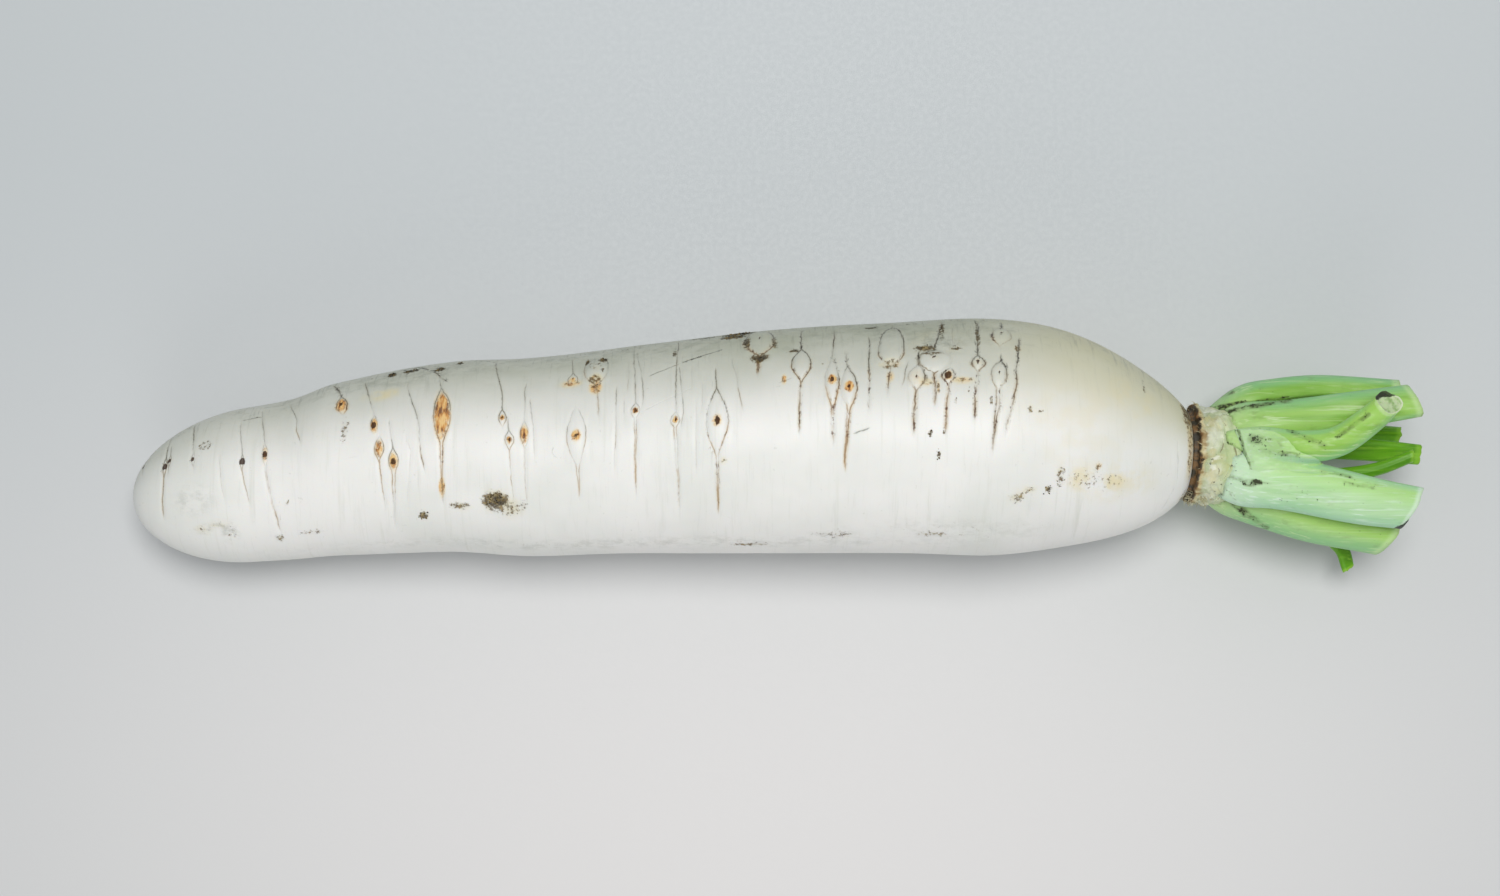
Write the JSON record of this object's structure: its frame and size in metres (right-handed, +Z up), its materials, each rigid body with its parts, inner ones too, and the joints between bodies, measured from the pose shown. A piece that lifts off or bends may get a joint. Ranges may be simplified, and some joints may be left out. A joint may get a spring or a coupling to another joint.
{
  "type": "daikon radish",
  "caption": "Long white daikon radish lying on its side, with a blunt tip, rows of root scars, a short corky crown and a cluster of cut green leaf stalks.",
  "frame": {"origin": "centre of the bounding box in plan, on the surface that the radish lies on", "axes": "+X from the blunt tip towards the cut leaf stalks, +Z up, +Y towards the side whose row of root scars shows"},
  "size_m": [0.4162, 0.082, 0.0737],
  "materials": {
    "root_skin": "satin",
    "crown_cork": "matte",
    "leaf_stalk": "satin",
    "leaf_stalk_pale": "satin",
    "leaf_stalk_young": "satin"
  },
  "bodies": {
    "root": {"taproot": "root_skin", "crown": "crown_cork", "leaf_stalk_curved_front": "leaf_stalk", "leaf_stalk_broad_front": "leaf_stalk_pale", "leaf_stalk_broad_upper": "leaf_stalk", "leaf_stalk_arched_back": "leaf_stalk", "leaf_stalk_low_front": "leaf_stalk", "leaf_stalk_inner_thin": "leaf_stalk_young", "leaf_stalk_inner_right": "leaf_stalk_young", "leaf_stalk_inner_upper": "leaf_stalk_young", "leaf_stalk_low_thin": "leaf_stalk_young", "leaf_stalk_under_back": "leaf_stalk", "leaf_stalk_under_front": "leaf_stalk"}
  },
  "joints": []
}
